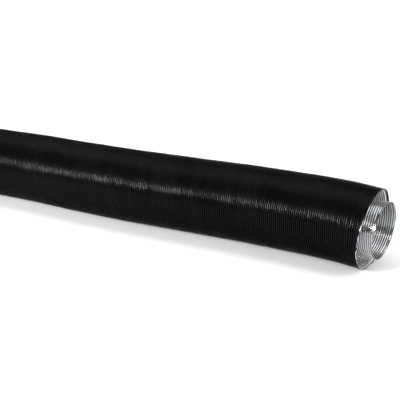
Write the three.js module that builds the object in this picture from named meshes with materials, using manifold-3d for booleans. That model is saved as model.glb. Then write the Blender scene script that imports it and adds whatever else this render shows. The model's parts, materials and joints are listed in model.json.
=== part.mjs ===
// Coaxial flexible air duct: a black two-ply outer duct round a bare aluminium inner duct.
// Millimetres, +Z up. The duct lies on the plane z = 0 and runs along +X in a gentle S-bend.
//
// The corrugated plies of the real duct bend and stretch all along their length. Here each ply is
// a row of short plain sections, as thick as the corrugation is deep, and the gaps between the
// sections are the room that their hinges and slides need.

import * as THREE from "three";
import { mergeVertices } from "three/addons/utils/BufferGeometryUtils.js";
import Module from "manifold-3d";

const wasm = await Module();
wasm.setup();

// Length and route
const SECTION_COUNT = 16;
const SECTION_LENGTH = 33;
// Three even bends, from the far end to the near end: how many sections long, and the turn to the left.
const BENDS = [
  { sections: 4, turn: -8 },
  { sections: 6, turn: 7 },
  { sections: 6, turn: -10 },
];

// Round sizes: each wall is a polygon whose flats, not its corners, lie on the stated radius.
const FACETS = 24;
const OUTER_RADIUS = 41.5;
const PLY_WALL = 0.8;
const INNER_RADIUS = 28.8;
const INNER_WALL = 1.3;
const INNER_DROP = 1; // the inner duct's weight sets it this much below the outer duct's axis

// Inner duct's ends: each stands out of the outer duct and slides with the whole inner duct.
const INNER_PROUD = 10.5;
const INNER_END_LENGTH = 25;
const SLIDE_ROOM = 10.5;

// Joints between the sections, in the order they repeat from the far end
const JOINT_PATTERN = ["yaw", "pitch", "yaw", "stretch", "pitch"];
const BEND_LIMIT = 18;
const BEND_SPARE = 0.5;
const STRETCH_IN = 3;
const GAP = 0.3;

// Centring spacers: a ring on the inner duct with four legs
const SPACER_SECTIONS = [3, 8, 13];
const SPACER = { width: 8, wall: 1, legs: 4, legThickness: 1.6, footWidth: 8, footThickness: 1 };

const JACKET_OUTER = OUTER_RADIUS;
const LINER_OUTER = JACKET_OUTER - PLY_WALL - GAP;
const LINER_INNER = LINER_OUTER - PLY_WALL;
const OVERRUN = 3; // length left on a wall for its end cutter to take off
const CUTTER_REACH = 60;

const finish = {
  black: { color: 0x141414, roughness: 0.42, metalness: 0.0 },
  foil: { color: 0xb9bbbd, roughness: 0.45, metalness: 1.0 },
  bright: { color: 0xd2d3d5, roughness: 0.25, metalness: 1.0 },
  spring: { color: 0x8d8f92, roughness: 0.4, metalness: 1.0 },
};

const radians = THREE.MathUtils.degToRad;

function solidOf(geometry) {
  const bare = geometry.clone();
  bare.deleteAttribute("normal");
  bare.deleteAttribute("uv");
  const merged = mergeVertices(bare, 1e-4);
  return new wasm.Manifold(
    new wasm.Mesh({
      numProp: 3,
      vertProperties: new Float32Array(merged.attributes.position.array),
      triVerts: new Uint32Array(merged.index.array),
    }),
  );
}

function geometryOf(solid) {
  const { vertProperties, triVerts } = solid.getMesh();
  const geometry = new THREE.BufferGeometry();
  geometry.setAttribute("position", new THREE.BufferAttribute(vertProperties, 3));
  geometry.setIndex(new THREE.BufferAttribute(triVerts, 1));
  geometry.computeVertexNormals();
  return geometry;
}

function namedMesh(name, solid, look) {
  const mesh = new THREE.Mesh(geometryOf(solid), new THREE.MeshStandardMaterial(look));
  mesh.name = name;
  return mesh;
}

// A polygonal tube along X, with a flat facet at its top and at its bottom.
function tube(outer, wall, start, end, rise = 0) {
  const toCorner = 1 / Math.cos(Math.PI / FACETS);
  const outerCorner = outer * toCorner;
  const innerCorner = (outer - wall) * toCorner;
  const profile = [
    new THREE.Vector2(innerCorner, start),
    new THREE.Vector2(outerCorner, start),
    new THREE.Vector2(outerCorner, end),
    new THREE.Vector2(innerCorner, end),
    new THREE.Vector2(innerCorner, start),
  ];
  const geometry = new THREE.LatheGeometry(profile, FACETS, Math.PI / FACETS);
  geometry.rotateZ(-Math.PI / 2);
  geometry.translate(0, 0, rise);
  return solidOf(geometry);
}

// Everything past a joint's plane. At a hinge the plane is a roof whose ridge is the hinge axis,
// so the sections on both sides can turn to the limit before their edges meet.
function jointCutter(kind) {
  const ridge = -(GAP + (kind === "stretch" ? STRETCH_IN : 0)) / 2;
  const slope = kind === "stretch" ? 0 : Math.tan(radians(BEND_LIMIT + BEND_SPARE) / 2);
  const eaves = ridge - CUTTER_REACH * slope;
  const outline = [
    new THREE.Vector2(eaves, -CUTTER_REACH),
    new THREE.Vector2(CUTTER_REACH, -CUTTER_REACH),
    new THREE.Vector2(CUTTER_REACH, CUTTER_REACH),
    new THREE.Vector2(eaves, CUTTER_REACH),
  ];
  if (slope > 0) outline.push(new THREE.Vector2(ridge, 0));
  const depth = 2 * CUTTER_REACH;
  const geometry = new THREE.ExtrudeGeometry(new THREE.Shape(outline), { depth, bevelEnabled: false });
  geometry.translate(0, 0, -CUTTER_REACH);
  if (kind === "pitch") geometry.rotateX(Math.PI / 2);
  return geometry;
}

// Heading of a section's axis, in degrees to the left of the far end's, at its middle.
function headingOf(section) {
  let station = section + 0.5;
  let heading = 0;
  for (const bend of BENDS) {
    const share = THREE.MathUtils.clamp(station / bend.sections, 0, 1);
    heading += share * bend.turn;
    station -= bend.sections;
  }
  return heading;
}

const headings = Array.from({ length: SECTION_COUNT }, (_, section) => headingOf(section));
const turns = headings.map((heading, section) => heading - (headings[section - 1] ?? 0));
const jointKinds = turns.map((_, section) =>
  section === 0 ? null : JOINT_PATTERN[(section - 1) % JOINT_PATTERN.length],
);

// The two cutters of a section, in its own frame: a joint's plane halves the turn between its sections.
function sectionCutters(section) {
  const cutters = [];
  if (section > 0) {
    const start = jointCutter(jointKinds[section]);
    start.rotateZ(Math.PI - radians(turns[section]) / 2);
    cutters.push(solidOf(start));
  }
  if (section < SECTION_COUNT - 1) {
    const end = jointCutter(jointKinds[section + 1]);
    end.rotateZ(radians(turns[section + 1]) / 2);
    end.translate(SECTION_LENGTH, 0, 0);
    cutters.push(solidOf(end));
  }
  return cutters;
}

function cut(solid, cutters) {
  return cutters.reduce((left, cutter) => left.subtract(cutter), solid);
}

// One wall over a whole section, left long where a cutter trims it.
function sectionWall(section, outer, wall) {
  const start = section > 0 ? -OVERRUN : 0;
  const end = section < SECTION_COUNT - 1 ? SECTION_LENGTH + OVERRUN : SECTION_LENGTH;
  return tube(outer, wall, start, end);
}

// The inner duct's wall in one section. The first and last leave room for the sliding ends.
function innerWall(section) {
  const hiddenEnd = INNER_END_LENGTH - INNER_PROUD + SLIDE_ROOM;
  const start = section > 0 ? -OVERRUN : hiddenEnd;
  const end = section < SECTION_COUNT - 1 ? SECTION_LENGTH + OVERRUN : SECTION_LENGTH - hiddenEnd;
  return tube(INNER_RADIUS, INNER_WALL, start, end, -INNER_DROP);
}

function centringSpacer() {
  const { width, wall, legs, legThickness, footWidth, footThickness } = SPACER;
  const ringInner = INNER_RADIUS + GAP;
  const footTop = LINER_INNER - GAP;
  let spacer = tube(ringInner + wall, wall, -width / 2, width / 2, -INNER_DROP);
  for (let leg = 0; leg < legs; leg += 1) {
    const angle = ((leg + 0.5) / legs) * 2 * Math.PI;
    // A leg starts in the middle of the ring's wall, which hangs below the outer duct's axis.
    const legStart = ringInner + wall / 2 - INNER_DROP * Math.cos(angle);
    const legLength = footTop - footThickness / 2 - legStart;
    const post = new THREE.BoxGeometry(width, legThickness, legLength);
    post.translate(0, 0, legStart + legLength / 2);
    post.rotateX(angle);
    const foot = new THREE.BoxGeometry(width, footWidth, footThickness);
    foot.translate(0, 0, footTop - footThickness / 2);
    foot.rotateX(angle);
    spacer = spacer.add(solidOf(post)).add(solidOf(foot));
  }
  return spacer;
}

function buildSection(section) {
  const number = String(section + 1).padStart(2, "0");
  const cutters = sectionCutters(section);
  const group = new THREE.Group();
  const jacket = cut(sectionWall(section, JACKET_OUTER, PLY_WALL), cutters);
  const liner = cut(sectionWall(section, LINER_OUTER, PLY_WALL), cutters);
  const inner = cut(innerWall(section), cutters);
  group.add(
    namedMesh(`outer_jacket_${number}`, jacket, finish.black),
    namedMesh(`outer_liner_${number}`, liner, finish.foil),
    namedMesh(`inner_duct_${number}`, inner, finish.bright),
  );
  if (SPACER_SECTIONS.includes(section + 1)) {
    const spacer = namedMesh(`centring_spacer_${number}`, centringSpacer(), finish.spring);
    spacer.position.x = SECTION_LENGTH / 2;
    group.add(spacer);
  }
  return group;
}

// One end of the inner duct, from inside the outer duct to its free edge.
function innerEnd(name, start) {
  const end = start + INNER_END_LENGTH;
  return namedMesh(name, tube(INNER_RADIUS, INNER_WALL, start, end, -INNER_DROP), finish.bright);
}

const duct = new THREE.Group();
let parent = duct;
let lastSection = duct;
for (let section = 0; section < SECTION_COUNT; section += 1) {
  const group = buildSection(section);
  group.position.x = section > 0 ? SECTION_LENGTH : 0;
  group.rotation.z = radians(turns[section]);
  parent.add(group);
  if (section === 0) group.add(innerEnd("inner_far_end", -INNER_PROUD));
  parent = group;
  lastSection = group;
}
const nearStart = SECTION_LENGTH + INNER_PROUD - INNER_END_LENGTH;
lastSection.add(innerEnd("inner_near_end", nearStart));

// The straight line between the ends lies along X, and the origin is below the middle of the box.
const chord = headings.reduce(
  (sum, heading) => sum.add(new THREE.Vector2(1, 0).rotateAround(new THREE.Vector2(), radians(heading))),
  new THREE.Vector2(),
);
duct.rotation.z = -chord.angle();
duct.position.z = OUTER_RADIUS;
duct.updateMatrixWorld(true);
const middle = new THREE.Box3().setFromObject(duct, true).getCenter(new THREE.Vector3());
duct.position.x -= middle.x;
duct.position.y -= middle.y;
duct.updateMatrixWorld(true);

export default duct;
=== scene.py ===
"""A coaxial flexible air duct: a corrugated black outer duct, lined with foil, and a bare inner duct in it.

The duct lies on a pale floor. Each ply is one long helically corrugated shell, cut at the middles of the
CAD sections into pieces that each span one joint.
Metres, +Z up.
"""

import json
import math

import bpy
import numpy as np
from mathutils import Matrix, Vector


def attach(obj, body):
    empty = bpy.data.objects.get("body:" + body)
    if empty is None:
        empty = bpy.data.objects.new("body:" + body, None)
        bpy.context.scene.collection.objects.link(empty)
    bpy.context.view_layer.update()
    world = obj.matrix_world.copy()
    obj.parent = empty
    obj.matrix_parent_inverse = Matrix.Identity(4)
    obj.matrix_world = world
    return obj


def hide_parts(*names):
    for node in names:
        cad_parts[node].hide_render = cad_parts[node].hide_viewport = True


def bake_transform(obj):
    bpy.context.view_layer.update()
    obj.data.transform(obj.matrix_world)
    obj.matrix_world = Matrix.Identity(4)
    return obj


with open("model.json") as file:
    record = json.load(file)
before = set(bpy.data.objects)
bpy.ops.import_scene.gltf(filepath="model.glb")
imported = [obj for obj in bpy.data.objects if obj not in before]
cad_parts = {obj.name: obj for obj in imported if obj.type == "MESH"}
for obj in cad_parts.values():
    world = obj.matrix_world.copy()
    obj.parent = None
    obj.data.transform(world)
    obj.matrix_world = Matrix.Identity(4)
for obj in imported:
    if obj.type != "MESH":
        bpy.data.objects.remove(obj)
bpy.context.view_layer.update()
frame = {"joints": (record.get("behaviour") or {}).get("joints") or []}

# ---------------------------------------------------------------- sizes, in metres

MM = 0.001
SECTION_COUNT = 16
SECTION = 33 * MM
BENDS = ((4, -8), (6, 7), (6, -10))  # sections, turn to the left in degrees, from the far end
OUTER_LENGTH = SECTION_COUNT * SECTION

PITCH = 2.23 * MM
STARTS = 4  # corrugations side by side on the strip that each ply is wound from

OUTER_RADIUS = 41.5 * MM
INNER_RADIUS = 28.8 * MM
INNER_DROP = 1.1 * MM
INNER_SIDE = 0.4 * MM
INNER_PROUD = 10.2 * MM

AXIS_HEIGHT = OUTER_RADIUS
MOUTH_REACH = 42 * MM  # length of the near mouth that is out of round
LIP, LIP_FLARE = 5 * MM, 0.3 * MM  # the inner duct's ends open out a little
CRUSHED_REACH = 3.5 * MM  # from a cut edge to where the corrugations stand upright
CRUSHED_HEIGHT = 0.1  # share of the corrugation left at the edge itself

FINE_ROWS, COARSE_ROWS = 10, 6  # mesh rows in a pitch, near the ends and between them
FINE_PIECES = 3  # pieces at each end with the fine rows


class Ply:
    """One corrugated shell: its crest radius, corrugation depth and thickness, how far its axis lies below
    and to the right of the outer duct's, its mesh columns round the duct, and its cut ends as functions of
    the angle."""

    def __init__(self, crest, depth, thickness, drop, side, columns, far_cut, near_cut):
        self.crest = crest
        self.depth = depth
        self.thickness = thickness
        self.drop = drop
        self.side = side
        self.columns = columns
        self.far_cut = far_cut
        self.near_cut = near_cut


def ragged(angle):
    """Unevenness of an edge cut by hand."""
    return MM * (
        0.13 * np.sin(7 * angle + 0.6)
        + 0.10 * np.sin(17 * angle)
        + 0.07 * np.sin(29 * angle + 2.0)
        + 0.05 * np.sin(43 * angle + 1.1)
    )


def outer_near_cut(angle):
    """The mouth is cut askew: its top stands forward and its lower right-hand side back."""
    askew = 2.14 * np.sin(angle) - 0.4 * np.cos(angle)
    askew += 0.64 * np.sin(2 * angle) - 0.73 * np.cos(2 * angle)
    return OUTER_LENGTH + MM * (askew - 0.25) + ragged(angle)


def outer_far_cut(angle):
    return MM * (0.4 * np.sin(angle) - 0.6 * np.cos(angle)) + ragged(angle + 1.7)


def inner_near_cut(angle):
    askew = 1.46 * np.sin(angle) - 0.8 * np.cos(angle)
    return OUTER_LENGTH + INNER_PROUD + MM * askew + ragged(angle + 0.8)


def inner_far_cut(angle):
    return -INNER_PROUD + MM * (-0.6 * np.sin(angle) + 0.3 * np.cos(angle)) + ragged(angle + 2.9)


def liner_near_cut(angle):
    """The foil shows a little past the black ply on one side and ends short of it on the other."""
    proud = MM * (0.9 * np.cos(angle + 0.45) - 0.3)
    return outer_near_cut(angle) + proud + 0.5 * ragged(angle + 1.0)


def liner_far_cut(angle):
    return outer_far_cut(angle) - 0.7 * MM + 0.5 * ragged(angle + 2.0)


JACKET = Ply(OUTER_RADIUS, 1.1 * MM, 0.15 * MM, 0.0, 0.0, 96, outer_far_cut, outer_near_cut)
LINER = Ply(OUTER_RADIUS - 0.2 * MM, 1.1 * MM, 0.15 * MM, 0.0, 0.0, 96, liner_far_cut, liner_near_cut)
INNER = Ply(INNER_RADIUS, 0.65 * MM, 0.2 * MM, INNER_DROP, INNER_SIDE, 80, inner_far_cut, inner_near_cut)

# ---------------------------------------------------------------- the route of the centreline


def heading_at(section):
    """Heading at the middle of a section, in radians to the left of the far end's."""
    station, heading = section + 0.5, 0.0
    for sections, turn in BENDS:
        heading += min(max(station / sections, 0.0), 1.0) * turn
        station -= sections
    return math.radians(heading)


def unit(angle):
    """Unit vectors in the floor's plane."""
    return np.stack([np.cos(angle), np.sin(angle)], -1)


joints = {j["name"]: j for j in frame["joints"]}
far_axis = joints["inner_duct_slide_far"]["axis"]
HEADINGS = np.array([heading_at(k) for k in range(SECTION_COUNT)])
HEADINGS += math.atan2(far_axis[1], far_axis[0]) - HEADINGS[0]
first_hinge = np.array(joints["bend_sideways_01"]["pos_m"][:2])
STEPS = SECTION * unit(HEADINGS)
CORNERS = first_hinge - STEPS[0] + np.concatenate([[[0, 0]], np.cumsum(STEPS, 0)])
MIDDLES = (CORNERS[1:] + CORNERS[:-1]) / 2


def route(s):
    """Centreline points and headings at distances s from the outer duct's far end: an arc between the
    middles of each two sections, straight beyond the first and last middle."""
    section = np.clip(np.floor(s / SECTION - 0.5), 0, SECTION_COUNT - 2).astype(int)
    share = np.clip(s / SECTION - 0.5 - section, 0.0, 1.0)
    half_turn = (HEADINGS[section + 1] - HEADINGS[section]) / 2
    arc_radius = SECTION / 2 / np.tan(half_turn)
    chord = 2 * arc_radius * np.sin(share * half_turn)
    heading = HEADINGS[section] + 2 * share * half_turn
    beyond = s - np.clip(s, SECTION / 2, OUTER_LENGTH - SECTION / 2)
    point = MIDDLES[section] + chord[..., None] * unit(HEADINGS[section] + share * half_turn)
    return point + beyond[..., None] * unit(heading), heading


def placed(s, angle, radius, drop, side):
    """Points round the centreline. The angle is 0 on the right-hand side, for someone facing the near end,
    and grows upwards."""
    point, heading = route(s)
    right = np.stack([np.sin(heading), -np.cos(heading)], -1)
    xy = point + (radius * np.cos(angle) + side)[..., None] * right
    z = AXIS_HEIGHT - drop + radius * np.sin(angle)
    return np.concatenate([xy, z[..., None]], -1)


# ---------------------------------------------------------------- corrugated shells


def dents(s, angle):
    """Unevenness of a duct that was stretched and bent by hand: long shallow ovals down to slight dents
    that set single corrugations a little askew."""
    return MM * (
        0.10 * np.sin(2 * angle + 23 * s)
        + 0.07 * np.sin(3 * angle - 41 * s + 1.3)
        + 0.06 * np.sin(7 * angle + 163 * s + 0.4)
        + 0.045 * np.sin(11 * angle - 431 * s + 2.1)
        + 0.03 * np.sin(16 * angle + 1270 * s + 0.9)
        + 0.02 * np.sin(21 * angle - 1910 * s + 3.3)
    )


def mouth_shape(s, angle):
    """The outer duct's near mouth is out of round from handling: its top is pressed in and its lower
    right side bulges."""
    reach = np.clip((s - OUTER_LENGTH + MOUTH_REACH) / MOUTH_REACH, 0.0, 1.2) ** 2
    pressed = 0.68 + 1.29 * np.sin(angle) - 0.64 * np.cos(angle)
    pressed = pressed + 1.29 * np.sin(2 * angle) - 0.61 * np.cos(2 * angle)
    return -MM * pressed * reach


def corrugation(ply, s, angle):
    """Height of the corrugation, 0 in a valley and 1 on a crest, wound as a helix of several starts and
    drawn out a little unevenly along the duct. The jacket has broad crests, which show outside, the liner
    broad valleys, which show inside, and the inner duct's foil is the same on both sides."""
    drawn = 0.5 * np.sin(61 * s + 0.7) + 0.25 * np.sin(187 * s + angle + 2.0)
    phase = 2 * np.pi * (s / PITCH + STARTS * angle / (2 * np.pi)) + drawn
    wave = np.sin(phase / 2) ** 2
    if ply is JACKET:
        return wave * (2 - wave)
    return wave**2 if ply is LINER else wave**2 * (3 - 2 * wave)


def ply_radius(ply, s, angle):
    """The outer surface of a ply. Its corrugations are crushed almost flat at a cut edge."""
    to_edge = np.minimum(ply.near_cut(angle) - s, s - ply.far_cut(angle))
    upright = CRUSHED_HEIGHT + (1 - CRUSHED_HEIGHT) * np.clip(to_edge / CRUSHED_REACH, 0.0, 1.0)
    uneven = 1 + 0.08 * np.sin(71 * s + 3 * angle) + 0.06 * np.sin(977 * s + 5 * angle)
    sunk = ply.depth * upright * (1 - uneven * corrugation(ply, s, angle))
    radius = ply.crest - sunk + dents(s, angle)
    if ply is INNER:
        return radius + LIP_FLARE * np.clip(1 - to_edge / LIP, 0.0, 1.0) ** 2
    return radius + mouth_shape(s, angle)


def shell_point(ply, s, angle, inward):
    return placed(s, angle, ply_radius(ply, s, angle) - inward, ply.drop, ply.side)


def shell_normals(ply, s, angle, inward):
    """Unit normals of the smooth surface, which neighbouring pieces share at their seam."""
    ds, da = 0.01 * MM, 0.001
    along = shell_point(ply, s + ds, angle, inward) - shell_point(ply, s - ds, angle, inward)
    around = shell_point(ply, s, angle + da, inward) - shell_point(ply, s, angle - da, inward)
    normal = np.cross(along, around)
    return normal / np.linalg.norm(normal, axis=-1, keepdims=True)


def helix_grid(ply, rows_per_pitch, start, end):
    """Rows that follow the corrugation's helix, trimmed to start and end, which give a distance for each
    column. Returns each vertex's distance and column, and the faces of the sheet, facing out."""
    columns = np.arange(ply.columns)
    wrap = STARTS * rows_per_pitch
    first = math.floor(rows_per_pitch * start.min() / PITCH) - 1 - wrap
    last = math.ceil(rows_per_pitch * (end.max() / PITCH + STARTS)) + 1
    rows = np.arange(first, last + 1)
    s = PITCH * (rows[:, None] / rows_per_pitch - STARTS * columns[None, :] / ply.columns)
    snap = 0.3 * PITCH / rows_per_pitch
    at_start = s <= start + snap
    at_end = ~at_start & (s >= end - snap)
    inside = ~at_start & ~at_end
    index = np.where(at_start, columns, ply.columns + columns)
    index[inside] = 2 * ply.columns + np.arange(inside.sum())
    distance = np.concatenate([start, end, s[inside]])
    column = np.concatenate([columns, columns, np.broadcast_to(columns, s.shape)[inside]])
    # One turn on, a row becomes the row that lies STARTS corrugations further back.
    shifted = np.concatenate([np.zeros(wrap, int), index[:-wrap, 0]])
    beside = np.concatenate([index[:, 1:], shifted[:, None]], 1)
    quads = np.stack([index[:-1], index[1:], beside[1:], beside[:-1]], -1).reshape(-1, 4)
    left_flat, right_flat = quads[:, 0] == quads[:, 1], quads[:, 2] == quads[:, 3]
    whole = quads[~left_flat & ~right_flat]
    slivers = np.concatenate([quads[left_flat & ~right_flat][:, 1:], quads[right_flat & ~left_flat][:, :3]])
    return distance, column, whole, slivers


def add_places(mesh, ply, s, angle):
    """Each vertex's place on the duct as if it was straight, and how far it stands out of the corrugation
    on its own side of the ply. Patterns that follow these stay on the metal when the duct bends."""
    straight = np.tile(np.stack([s, ply.crest * np.cos(angle), ply.crest * np.sin(angle)], -1), (2, 1))
    place = mesh.attributes.new("straight", "FLOAT_VECTOR", "POINT")
    place.data.foreach_set("vector", straight.astype(np.float32).ravel())
    height = mesh.attributes.new("crest", "FLOAT", "POINT")
    outside = corrugation(ply, s, angle)
    height.data.foreach_set("value", np.concatenate([outside, 1 - outside]).astype(np.float32))


def corrugated_piece(name, ply, rows_per_pitch, start, end, material):
    """A closed shell of one ply between start and end: each a distance, or a distance for each column."""
    start = np.broadcast_to(start, ply.columns).astype(float)
    end = np.broadcast_to(end, ply.columns).astype(float)
    s, column, quads, slivers = helix_grid(ply, rows_per_pitch, start, end)
    angle = 2 * np.pi * column / ply.columns
    count = len(s)
    outside = shell_point(ply, s, angle, 0.0)
    inside = shell_point(ply, s, angle, ply.thickness)
    ring = np.arange(ply.columns)
    following = np.roll(ring, -1)
    start_cap = np.stack([ring, following, following + count, ring + count], -1)
    end_cap = ply.columns + np.stack([following, ring, ring + count, following + count], -1)
    caps = np.concatenate([start_cap, end_cap])
    sheets = [quads, quads[:, ::-1] + count, slivers, slivers[:, ::-1] + count]
    faces = [face for sheet in [*sheets, caps] for face in sheet.tolist()]
    mesh = bpy.data.meshes.new(name)
    mesh.from_pydata(np.concatenate([outside, inside]).tolist(), [], faces)
    mesh.polygons.foreach_set("use_smooth", [True] * len(faces))
    point_normals = np.concatenate(
        [shell_normals(ply, s, angle, 0.0), -shell_normals(ply, s, angle, ply.thickness)]
    )
    loops = np.empty(len(mesh.loops), int)
    mesh.loops.foreach_get("vertex_index", loops)
    loop_normals = point_normals[loops]
    cap_loops = 4 * len(caps)
    face_normals = np.empty(3 * len(faces))
    mesh.polygons.foreach_get("normal", face_normals)
    loop_normals[-cap_loops:] = np.repeat(face_normals.reshape(-1, 3)[-len(caps):], 4, 0)
    mesh.normals_split_custom_set(loop_normals.tolist())
    add_places(mesh, ply, s, angle)
    mesh.materials.append(material)
    piece = bpy.data.objects.new(name, mesh)
    bpy.context.scene.collection.objects.link(piece)
    return piece


# ---------------------------------------------------------------- materials


class Nodes:
    """Short forms for building one material's node tree."""

    def __init__(self, name):
        self.material = bpy.data.materials.new(name)
        self.material.use_nodes = True
        self.tree = self.material.node_tree
        self.shader = self.tree.nodes["Principled BSDF"]

    def add(self, kind, inputs=(), **settings):
        node = self.tree.nodes.new(kind)
        for key, value in settings.items():
            setattr(node, key, value)
        for key, value in dict(inputs).items():
            self.put(node.inputs[key], value)
        return node

    def put(self, socket, value):
        if isinstance(value, bpy.types.NodeSocket):
            self.tree.links.new(value, socket)
        else:
            socket.default_value = value

    def attribute(self, name, output):
        return self.add("ShaderNodeAttribute", attribute_name=name).outputs[output]

    def noise(self, vector, scale, detail=3.0, roughness=0.55):
        inputs = {"Vector": vector, "Scale": scale, "Detail": detail, "Roughness": roughness}
        return self.add("ShaderNodeTexNoise", inputs).outputs["Fac"]

    def stretched(self, vector, scale):
        """The vector with each axis scaled on its own, so that a pattern runs along one of them."""
        return self.add("ShaderNodeMapping", {"Vector": vector, "Scale": scale}).outputs["Vector"]

    def ramp(self, value, low, high, to_low, to_high):
        inputs = {"Value": value, "From Min": low, "From Max": high, "To Min": to_low, "To Max": to_high}
        return self.add("ShaderNodeMapRange", inputs).outputs["Result"]

    def blend(self, factor, first, second):
        node = self.add("ShaderNodeMix", data_type="RGBA")
        self.put(node.inputs["Factor"], factor)
        self.put(node.inputs["A"], first)
        self.put(node.inputs["B"], second)
        return node.outputs["Result"]

    def sum(self, first, second, operation="ADD"):
        return self.add("ShaderNodeMath", {0: first, 1: second}, operation=operation).outputs["Value"]

    def bump(self, height, strength, distance):
        inputs = {"Height": height, "Strength": strength, "Distance": distance}
        return self.add("ShaderNodeBump", inputs).outputs["Normal"]


FINE_BUMP = 0.1 * MM  # how deep the materials' bump goes


def black_film():
    """Black film, rougher in the valleys, with a painted highlight on the crests and painted shade in the
    valleys. A metallic shader with a dark base and tint keeps it dark even where the pale floor is
    reflected at a low angle."""
    n = Nodes("black_film")
    place = n.attribute("straight", "Vector")
    crest = n.attribute("crest", "Fac")
    cloud = n.noise(place, 24.0)
    grain = n.noise(place, 900.0, 2.0)
    rolled = n.noise(n.stretched(place, (800.0, 70.0, 70.0)), 1.0, 2.0)
    clouded = n.ramp(cloud, 0.3, 0.7, 0.0, 1.0)
    dull = n.blend(clouded, (0.006, 0.006, 0.0062, 1), (0.008, 0.008, 0.0082, 1))
    # Painted highlight and painted shade: the colour goes lighter towards the crests and stays darker in
    # the valleys.
    painted_crest_sheen = n.ramp(crest, 0.3, 1.0, 0.0, 1.0)
    n.put(n.shader.inputs["Base Color"], n.blend(painted_crest_sheen, dull, (0.0115, 0.0115, 0.0118, 1)))
    burnished = n.ramp(n.sum(cloud, rolled), 0.6, 1.4, 0.16, 0.3)
    n.put(n.shader.inputs["Roughness"], n.sum(burnished, n.ramp(crest, 0.2, 0.9, 0.3, 0.0)))
    n.put(n.shader.inputs["Normal"], n.bump(n.sum(grain, rolled), 0.1, FINE_BUMP))
    n.shader.inputs["Metallic"].default_value = 1.0
    n.shader.inputs["Specular Tint"].default_value = (0.6, 0.6, 0.6, 1)
    return n.material


# Grey of dust and painted shade in the foil's valleys.
VALLEY_DUST_AND_SHADE = (0.15, 0.15, 0.15, 1)


def bare_foil(name, colour_low, colour_high, rough_low, rough_high, dust_and_shade):
    """Bare aluminium between two tones and two roughnesses, with its valleys darkened towards a grey by
    dust and painted shade.
    """
    n = Nodes(name)
    place = n.attribute("straight", "Vector")
    crest = n.attribute("crest", "Fac")
    cloud = n.noise(place, 60.0)
    rolled = n.noise(n.stretched(place, (900.0, 60.0, 60.0)), 1.0, 2.0)
    creases = n.noise(n.stretched(place, (90.0, 300.0, 300.0)), 1.0, 3.0)
    bright = n.blend(n.ramp(cloud, 0.3, 0.7, 0.0, 1.0), colour_low, colour_high)
    # Dust and painted shade: the colour darkens towards the grey in the valleys.
    dust_and_shade_mask = n.ramp(crest, 0.0, 0.6, dust_and_shade, 0.0)
    n.put(n.shader.inputs["Base Color"], n.blend(dust_and_shade_mask, bright, VALLEY_DUST_AND_SHADE))
    n.put(n.shader.inputs["Roughness"], n.ramp(n.sum(cloud, rolled), 0.6, 1.4, rough_low, rough_high))
    n.put(n.shader.inputs["Normal"], n.bump(n.sum(creases, rolled), 0.08, FINE_BUMP))
    n.shader.inputs["Metallic"].default_value = 1.0
    return n.material


def spring_steel():
    n = Nodes("spring_steel")
    place = n.attribute("straight", "Vector")
    brushed = n.noise(n.stretched(place, (3000.0, 150.0, 150.0)), 1.0, 3.0)
    stain = n.noise(place, 180.0, 4.0)
    tone = n.blend(n.ramp(stain, 0.35, 0.7, 0.0, 1.0), (0.44, 0.45, 0.46, 1), (0.27, 0.27, 0.27, 1))
    n.put(n.shader.inputs["Base Color"], tone)
    n.put(n.shader.inputs["Roughness"], n.ramp(n.sum(brushed, stain), 0.6, 1.4, 0.26, 0.46))
    n.put(n.shader.inputs["Normal"], n.bump(brushed, 0.15, FINE_BUMP / 2))
    n.shader.inputs["Metallic"].default_value = 1.0
    return n.material


def floor_paint():
    n = Nodes("floor_paint")
    n.shader.inputs["Base Color"].default_value = (0.9, 0.9, 0.9, 1)
    n.shader.inputs["Roughness"].default_value = 0.9
    n.shader.inputs["Specular IOR Level"].default_value = 0.1
    return n.material


FILM = black_film()
# The last argument sets how far the valleys are darkened with dust and painted shade.
LINER_FOIL = bare_foil("liner_foil", (0.76, 0.77, 0.78, 1), (0.86, 0.87, 0.88, 1), 0.16, 0.26, dust_and_shade=0.8)
SPRING_STEEL = spring_steel()
DUCT_FOIL = bare_foil("duct_foil", (0.40, 0.41, 0.42, 1), (0.50, 0.51, 0.52, 1), 0.16, 0.26, dust_and_shade=0.6)

# ---------------------------------------------------------------- the ducts


def number(section):
    return f"{section + 1:02d}"


def body(section):
    return f"section_{number(section)}"


def column_angles(ply):
    return 2 * np.pi * np.arange(ply.columns) / ply.columns


def build_ply(ply, kind, nodes, material):
    """One ply, as a piece across each joint between sections. The inner duct stops short at the middles of
    the first and last sections, where its sliding ends begin."""
    for section in range(SECTION_COUNT - 1):
        first, last = section == 0, section == SECTION_COUNT - 2
        start = (section + 0.5) * SECTION
        end = start + SECTION
        if first and ply is not INNER:
            start = ply.far_cut(column_angles(ply))
        if last and ply is not INNER:
            end = ply.near_cut(column_angles(ply))
        at_end = min(section, SECTION_COUNT - 2 - section) < FINE_PIECES
        rows = FINE_ROWS if at_end else COARSE_ROWS
        piece = corrugated_piece(f"{kind}_{number(section)}", ply, rows, start, end, material)
        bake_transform(piece)
        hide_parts(f"{nodes}_{number(section + 1)}")
        if first:
            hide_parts(f"{nodes}_{number(section)}")


def build_inner_ends():
    """The two ends of the inner duct, which slide out and in as it is pushed through the outer one."""
    angles = column_angles(INNER)
    near_start, near_end = OUTER_LENGTH - SECTION / 2, inner_near_cut(angles)
    near = corrugated_piece("inner_mouth_near", INNER, FINE_ROWS, near_start, near_end, DUCT_FOIL)
    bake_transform(near)
    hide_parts("inner_near_end")
    far_start, far_end = inner_far_cut(angles), SECTION / 2
    far = corrugated_piece("inner_mouth_far", INNER, FINE_ROWS, far_start, far_end, DUCT_FOIL)
    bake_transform(far)
    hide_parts("inner_far_end")


# ---------------------------------------------------------------- centring spacers

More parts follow.
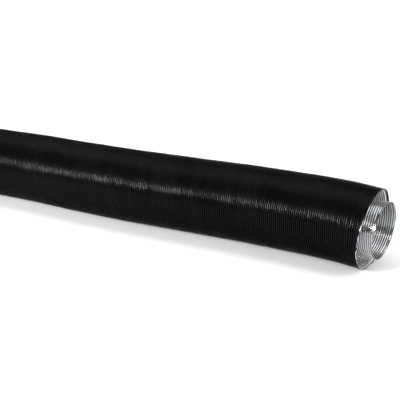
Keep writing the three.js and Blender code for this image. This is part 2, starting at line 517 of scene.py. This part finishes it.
SPACER_SECTIONS = (3, 8, 13)
STRIP_WIDTH = 8 * MM
STRIP_THICKNESS = 0.5 * MM
BAND_RADIUS = 29.4 * MM  # of the middle of the band's strip, round the inner duct
FOOT_RADIUS = 39.0 * MM  # of the middle of a foot's strip, round the outer duct
BRACKETS = 4
CAD_DROP = 1 * MM  # how far the CAD's inner duct lies below the outer duct's axis
CLEARANCE = 0.05 * MM  # between strips that lie on each other
BAND_START, BAND_TURN, BAND_STEP = -62, 376, 4  # degrees: the band goes round once and laps itself
LAP_START, LAP_RISE = 344, 10  # degrees from the band's start to the lap, and over which it rises
FLANGE_START, FLANGE_END = 16, 3  # degrees of a bracket's flange before its post
FOOT_START, FOOT_END = 2, 11  # degrees of its foot after its post
RIVET_RADIUS, RIVET_HEIGHT = 1.1 * MM, 0.55 * MM
RIVET_DEGREES = 11  # before the post
RIVET_PLACES = (-2.1 * MM, 2.1 * MM)  # along the duct
RIVET_SIDES = 12


def arc(centre, radius, start, end, points):
    """Points of an arc in the plane across the duct. Angles in degrees."""
    angle = np.radians(np.linspace(start, end, points))
    return np.array(centre) + radius * np.stack([np.cos(angle), np.sin(angle)], -1)


def strip(line, width, thickness):
    """A flat strip bent along a line in the plane across the duct, with softened edges. Returns vertices,
    as (along the duct, across, up), and faces."""
    ahead = np.gradient(line, axis=0)
    ahead /= np.linalg.norm(ahead, axis=1, keepdims=True)
    out = np.stack([-ahead[:, 1], ahead[:, 0]], -1)
    w, h, soft = width / 2, thickness / 2, thickness / 4
    section = [(w - soft, -h), (w, -h + soft), (w, h - soft), (w - soft, h)]
    section += [(-x, y) for x, y in reversed(section)]
    verts = [(x, *(point + y * side)) for point, side in zip(line, out) for x, y in section]
    n = len(section)
    faces = [
        (k * n + i, k * n + (i + 1) % n, (k + 1) * n + (i + 1) % n, (k + 1) * n + i)
        for k in range(len(line) - 1)
        for i in range(n)
    ]
    faces += [tuple(reversed(range(n))), tuple(range((len(line) - 1) * n, len(line) * n))]
    return np.array(verts), faces


def rivet(base, out, radius, height):
    """A low domed head standing on base."""
    out = np.array([0.0, *out])
    side = np.array([1.0, 0.0, 0.0])
    third = np.cross(out, side)
    rings = [(1.0, 0.0), (1.0, 0.25), (0.88, 0.6), (0.55, 0.9)]
    n = RIVET_SIDES
    verts = []
    for across, up in rings:
        for a in 2 * np.pi * np.arange(n) / n:
            spoke = np.cos(a) * side + np.sin(a) * third
            verts.append(base + radius * across * spoke + height * up * out)
    verts.append(base + height * out)
    top = len(verts) - 1
    faces = [
        (r * n + i, r * n + (i + 1) % n, (r + 1) * n + (i + 1) % n, (r + 1) * n + i)
        for r in range(len(rings) - 1)
        for i in range(n)
    ]
    last = (len(rings) - 1) * n
    faces += [(last + i, last + (i + 1) % n, top) for i in range(n)]
    faces.append(tuple(reversed(range(n))))
    return np.array(verts), faces


def band_line():
    """Round the inner duct, with its ends lapped beside the lowest bracket."""
    turns = np.radians(np.arange(BAND_START, BAND_START + BAND_TURN, BAND_STEP))
    lapped = np.clip((np.degrees(turns) - BAND_START - LAP_START) / LAP_RISE, 0, 1)
    radius = BAND_RADIUS + lapped * (STRIP_THICKNESS + CLEARANCE)
    line = radius[:, None] * np.stack([np.cos(turns), np.sin(turns)], -1)
    return line - [0, CAD_DROP]


def bracket_line(degrees):
    """A spring bracket: a flange on the band, a post, and a foot that bears on the liner."""
    lift = BAND_RADIUS + STRIP_THICKNESS + CLEARANCE
    inner = np.array([0, -CAD_DROP])
    flange = arc(inner, lift, degrees - FLANGE_START, degrees - FLANGE_END, 6)
    foot = arc((0, 0), FOOT_RADIUS, degrees + FOOT_START, degrees + FOOT_END, 6)
    radial = np.array([math.cos(math.radians(degrees)), math.sin(math.radians(degrees))])
    low, high = (lift + 1.6 * MM) * radial + inner, (FOOT_RADIUS - 1.4 * MM) * radial
    corner_low = lift * radial + inner
    corner_high = FOOT_RADIUS * radial
    rise = np.linspace(low, high, 5)

    def rounded(first, corner, last):
        t = np.linspace(0, 1, 7)[1:-1, None]
        return (1 - t) ** 2 * first + 2 * t * (1 - t) * corner + t**2 * last

    bend_low = rounded(flange[-1], corner_low, low)
    bend_high = rounded(high, corner_high, foot[0])
    tip = foot[-1] + (foot[-1] - foot[-2]) * 0.6 - 0.7 * MM * radial
    return np.concatenate([flange, bend_low, rise, bend_high, foot, [tip]])


def spacer_parts():
    """The band, four brackets and eight rivets, each as vertices and faces."""
    parts = [strip(band_line(), STRIP_WIDTH, STRIP_THICKNESS)]
    for leg in range(BRACKETS):
        degrees = (leg + 0.5) * 360 / BRACKETS
        parts.append(strip(bracket_line(degrees), STRIP_WIDTH, STRIP_THICKNESS))
        at = math.radians(degrees - RIVET_DEGREES)
        out = np.array([math.cos(at), math.sin(at)])
        head = (BAND_RADIUS + 1.5 * STRIP_THICKNESS + CLEARANCE) * out - [0, CAD_DROP]
        for along in RIVET_PLACES:
            parts.append(rivet(np.array([along, *head]), out, RIVET_RADIUS, RIVET_HEIGHT))
    return parts


def build_spacer(section):
    """One centring spacer, placed square to the duct in the middle of its section."""
    verts, faces = [], []
    for part_verts, part_faces in spacer_parts():
        faces += [tuple(len(verts) + i for i in face) for face in part_faces]
        verts += part_verts.tolist()
    verts = np.array(verts)
    middle, heading = MIDDLES[section], HEADINGS[section]
    right = np.array([math.sin(heading), -math.cos(heading)])
    xy = middle + verts[:, :1] * unit(heading) + verts[:, 1:2] * right
    world = np.concatenate([xy, AXIS_HEIGHT + verts[:, 2:]], 1)
    name = f"centring_spring_{number(section)}"
    mesh = bpy.data.meshes.new(name)
    mesh.from_pydata(world.tolist(), [], faces)
    mesh.materials.append(SPRING_STEEL)
    straight = verts + [SECTION * (section + 0.5), 0, 0]
    place = mesh.attributes.new("straight", "FLOAT_VECTOR", "POINT")
    place.data.foreach_set("vector", straight.astype(np.float32).ravel())
    mesh.polygons.foreach_set("use_smooth", [True] * len(faces))
    mesh.set_sharp_from_angle(angle=math.radians(40))
    piece = bpy.data.objects.new(name, mesh)
    bpy.context.scene.collection.objects.link(piece)
    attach(piece, body(section))
    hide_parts(f"centring_spacer_{number(section)}")


build_ply(JACKET, "black_ply", "outer_jacket", FILM)
build_ply(LINER, "foil_ply", "outer_liner", LINER_FOIL)
build_ply(INNER, "inner_ply", "inner_duct", DUCT_FOIL)
build_inner_ends()
for spacer_section in SPACER_SECTIONS:
    build_spacer(spacer_section - 1)

# ---------------------------------------------------------------- floor, lights and camera


FLOOR_REACH = 12.0


def add_floor():
    mesh = bpy.data.meshes.new("floor")
    reach = FLOOR_REACH
    corners = [(-reach, -reach, 0), (reach, -reach, 0), (reach, reach, 0), (-reach, reach, 0)]
    mesh.from_pydata(corners, [], [(0, 1, 2, 3)])
    mesh.materials.append(floor_paint())
    floor = bpy.data.objects.new("floor", mesh)
    bpy.context.scene.collection.objects.link(floor)


def add_light(name, place, target, size, radiance, spread=180):
    """A rectangular softbox of a given brightness. A spread below 180 degrees narrows its beam."""
    data = bpy.data.lights.new(name, "AREA")
    data.shape = "RECTANGLE"
    data.size, data.size_y = size
    data.energy = radiance * math.pi * size[0] * size[1]
    data.spread = math.radians(spread)
    light = bpy.data.objects.new(name, data)
    light.location = place
    light.rotation_euler = (Vector(target) - Vector(place)).to_track_quat("-Z", "Y").to_euler()
    bpy.context.scene.collection.objects.link(light)


DARK_SIDE = (-0.25, -0.8, 0.55)  # towards the dark part of the room, behind the camera
DARK_STARTS, DARK_FULL = 0.3, 0.85  # how near that direction the room starts to darken, and is darkest
PALE_STRENGTH, DARK_STRENGTH = 0.5, 0.04


def add_world():
    """A pale room, dark only behind the camera and above it."""
    world = bpy.data.worlds.new("studio")
    world.use_nodes = True
    nodes, links = world.node_tree.nodes, world.node_tree.links
    direction = nodes.new("ShaderNodeTexCoord").outputs["Generated"]
    facing = nodes.new("ShaderNodeVectorMath")
    facing.operation = "DOT_PRODUCT"
    facing.inputs[1].default_value = DARK_SIDE
    shade = nodes.new("ShaderNodeMapRange")
    shade.inputs["From Min"].default_value = DARK_STARTS
    shade.inputs["From Max"].default_value = DARK_FULL
    shade.inputs["To Min"].default_value = PALE_STRENGTH
    shade.inputs["To Max"].default_value = DARK_STRENGTH
    background = nodes["Background"]
    background.inputs["Color"].default_value = (1, 1, 1, 1)
    links.new(direction, facing.inputs[0])
    links.new(facing.outputs["Value"], shade.inputs["Value"])
    links.new(shade.outputs["Result"], background.inputs["Strength"])
    bpy.context.scene.world = world


# The camera stands right of the near mouth, facing the duct's side, and looks down on it.
CAMERA_FOCAL = 734.7 / 400  # focal length over the frame's width
CAMERA_HEIGHT = 306 * MM
CAMERA_PITCH = 19.39  # degrees below the horizon
MOUTH_AHEAD, MOUTH_RIGHT = 669.8 * MM, 170.8 * MM  # the near mouth's centre, as the camera sees it
MOUTH_TURN = 33.24  # degrees from the camera's right to the duct's heading at the mouth, clockwise


def add_camera():
    data = bpy.data.cameras.new("camera")
    data.sensor_width = 36.0
    data.lens = CAMERA_FOCAL * data.sensor_width
    camera = bpy.data.objects.new("camera", data)
    mouth, heading = route(np.array(OUTER_LENGTH))
    right = float(heading) + math.radians(MOUTH_TURN)
    ahead = right + math.pi / 2
    xy = mouth - MOUTH_RIGHT * unit(right) - MOUTH_AHEAD * unit(ahead)
    camera.location = (*xy, CAMERA_HEIGHT)
    camera.rotation_euler = (math.radians(90 - CAMERA_PITCH), 0, right)
    bpy.context.scene.collection.objects.link(camera)
    bpy.context.scene.camera = camera


DUCT_MIDDLE, NEAR_MOUTH = (0.0, 0.0, 0.04), (0.27, 0.0, 0.04)


def add_lights():
    """Overhead gives the band along the top, front the bright line along the side, key the inner duct's
    outside, side the rings of its bore, and backdrop a white floor behind."""
    add_light("overhead", (0.4, 0.22, 1.04), (0.4, 0.2201, 0.0), (2.8, 0.72), 1.6)
    add_light("front", (-1.0, -1.65, 0.79), DUCT_MIDDLE, (0.6, 0.38), 95.0)
    add_light("key", (0.95, -1.17, 0.89), NEAR_MOUTH, (0.6, 0.36), 9.5)
    add_light("side", (1.3, 0.1, 0.6), NEAR_MOUTH, (1.3, 0.9), 2.3)
    add_light("backdrop", (-0.8, 2.3, 2.0), (-0.8, 2.3001, 0.0), (3.4, 2.6), 1.5, spread=50)


add_floor()
add_world()
add_lights()
add_camera()
bpy.context.scene.view_settings.view_transform = "Standard"
